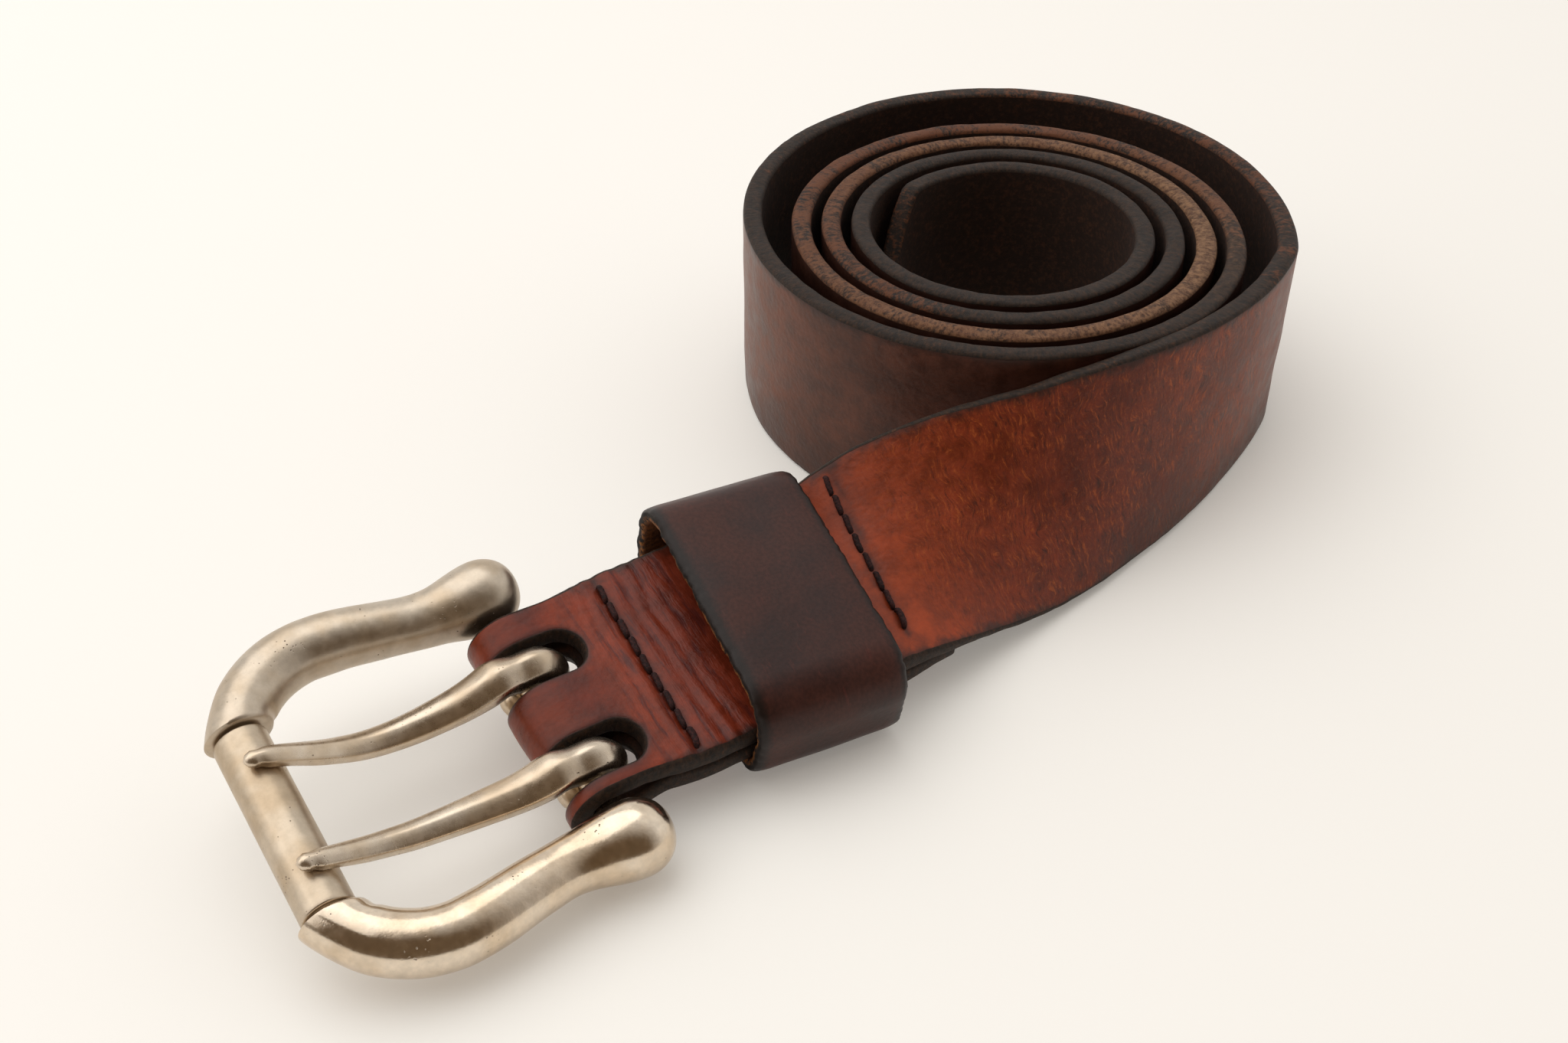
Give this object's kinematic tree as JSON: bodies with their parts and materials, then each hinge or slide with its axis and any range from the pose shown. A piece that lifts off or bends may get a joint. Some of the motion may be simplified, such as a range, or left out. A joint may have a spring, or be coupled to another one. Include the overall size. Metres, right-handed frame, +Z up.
{
  "type": "leather belt",
  "caption": "Wide leather belt with a two-prong roller buckle and a loose leather keeper, rolled up on its edge",
  "frame": {"origin": "middle of the whole belt's box, on the surface it stands on", "axes": "+X from the buckle to the roll, +Y away from the viewer across the strap, +Z up"},
  "size_m": [0.2276, 0.1326, 0.0381],
  "materials": {
    "strap_leather": "polished, burnished and worn",
    "keeper_leather": "polished dark, frayed edges",
    "staple_wire": "plain wire",
    "thread": "waxed thread",
    "buckle_metal": "worn satin nickel plate",
    "roller_metal": "worn satin nickel plate",
    "prong_metal": "worn satin nickel plate"
  },
  "bodies": {
    "strap": {"strap": "strap_leather", "stitches_front": "thread", "stitches_back": "thread"},
    "keeper": {"keeper": "keeper_leather", "keeper_staples": "staple_wire"},
    "buckle": {"buckle_frame": "buckle_metal"},
    "roller": {"roller": "roller_metal"},
    "prong_far": {"prong_far": "prong_metal"},
    "prong_near": {"prong_near": "prong_metal"}
  },
  "joints": [
    {"name": "buckle_swing", "type": "hinge", "parent": "strap", "child": "buckle", "pos_m": [-0.06531, -0.03466, 0.01022], "axis": [0, 0.9703, 0.2419], "range_deg": [-4, 55]},
    {"name": "prong_far_lift", "type": "hinge", "parent": "buckle", "child": "prong_far", "pos_m": [-0.06531, -0.02719, 0.01209], "axis": [0, 0.9703, 0.2419], "range_deg": [0, 35]},
    {"name": "prong_near_lift", "type": "hinge", "parent": "buckle", "child": "prong_near", "pos_m": [-0.06531, -0.04524, 0.00759], "axis": [0, 0.9703, 0.2419], "range_deg": [0, 35]},
    {"name": "roller_spin", "type": "hinge", "parent": "buckle", "child": "roller", "pos_m": [-0.10871, -0.03551, 0.01362], "axis": [0, 0.9703, 0.2419], "continuous": true},
    {"name": "keeper_slide", "type": "slide", "parent": "strap", "child": "keeper", "axis": [1, 0, 0], "range_m": [-0.0065, 0.0015]}
  ]
}
